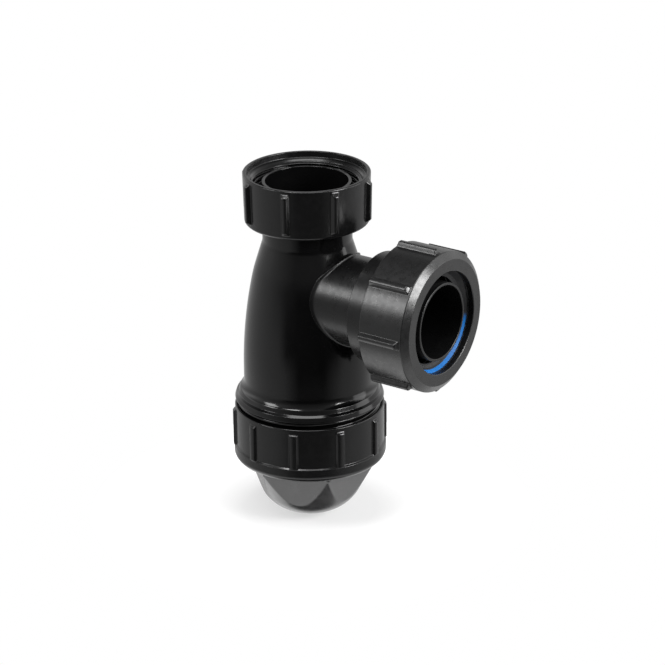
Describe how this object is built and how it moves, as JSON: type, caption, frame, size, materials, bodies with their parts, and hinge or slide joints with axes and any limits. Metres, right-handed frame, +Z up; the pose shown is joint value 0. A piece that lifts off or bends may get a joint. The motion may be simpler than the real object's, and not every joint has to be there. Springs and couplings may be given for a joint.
{
  "type": "bottle trap",
  "caption": "Bottle trap for a basin or sink: ribbed union nut at the top inlet, bell body with a side outlet and compression nut, and a removable faceted cup.",
  "frame": {"origin": "middle of the inlet's sealing face, the top of the rubber washer, on the trap's upright axis", "axes": "+Z up along the inlet tube, +X along the outlet tube, away from the body"},
  "size_m": [0.1071, 0.0686, 0.1619],
  "materials": {
    "body_plastic": "glossy black moulded plastic",
    "nut_plastic": "satin black moulded plastic",
    "cup_plastic": "fine matt black moulded plastic",
    "ring_plastic": "smooth dark plastic",
    "black_rubber": "smooth black rubber",
    "blue_rubber": "smooth blue rubber"
  },
  "bodies": {
    "trap": {"trap_body": "body_plastic", "inlet_washer": "black_rubber"},
    "inlet_union_nut": {"inlet_nut": "nut_plastic"},
    "base_cup": {"cup": "cup_plastic", "base_seal": "black_rubber"},
    "base_ring": {"ring_nut": "nut_plastic"},
    "outlet_rings": {"outlet_slip_ring": "ring_plastic", "outlet_seal": "blue_rubber"},
    "outlet_clamp": {"outlet_nut": "nut_plastic"}
  },
  "joints": [
    {"name": "inlet_nut_turn", "type": "hinge", "parent": "trap", "child": "inlet_union_nut", "pos_m": [0, 0, 0], "axis": [0, 0, 1], "continuous": true},
    {"name": "cup_drop", "type": "slide", "parent": "trap", "child": "base_cup", "axis": [0, 0, -1], "range_m": [0, 0.012]},
    {"name": "ring_nut_turn", "type": "hinge", "parent": "base_cup", "child": "base_ring", "pos_m": [0, 0, -0.11], "axis": [0, 0, -1], "range_deg": [0, 1080]},
    {"name": "outlet_ring_slide", "type": "slide", "parent": "trap", "child": "outlet_rings", "axis": [1, 0, 0], "range_m": [0, 0.012]},
    {"name": "outlet_nut_turn", "type": "hinge", "parent": "outlet_rings", "child": "outlet_clamp", "pos_m": [0.06, 0, -0.0425], "axis": [1, 0, 0], "range_deg": [0, 1080]}
  ],
  "couplings": [
    {"joint": "cup_drop", "follows": "ring_nut_turn", "m_per_rad": 0.00063662},
    {"joint": "outlet_ring_slide", "follows": "outlet_nut_turn", "m_per_rad": 0.00063662}
  ]
}
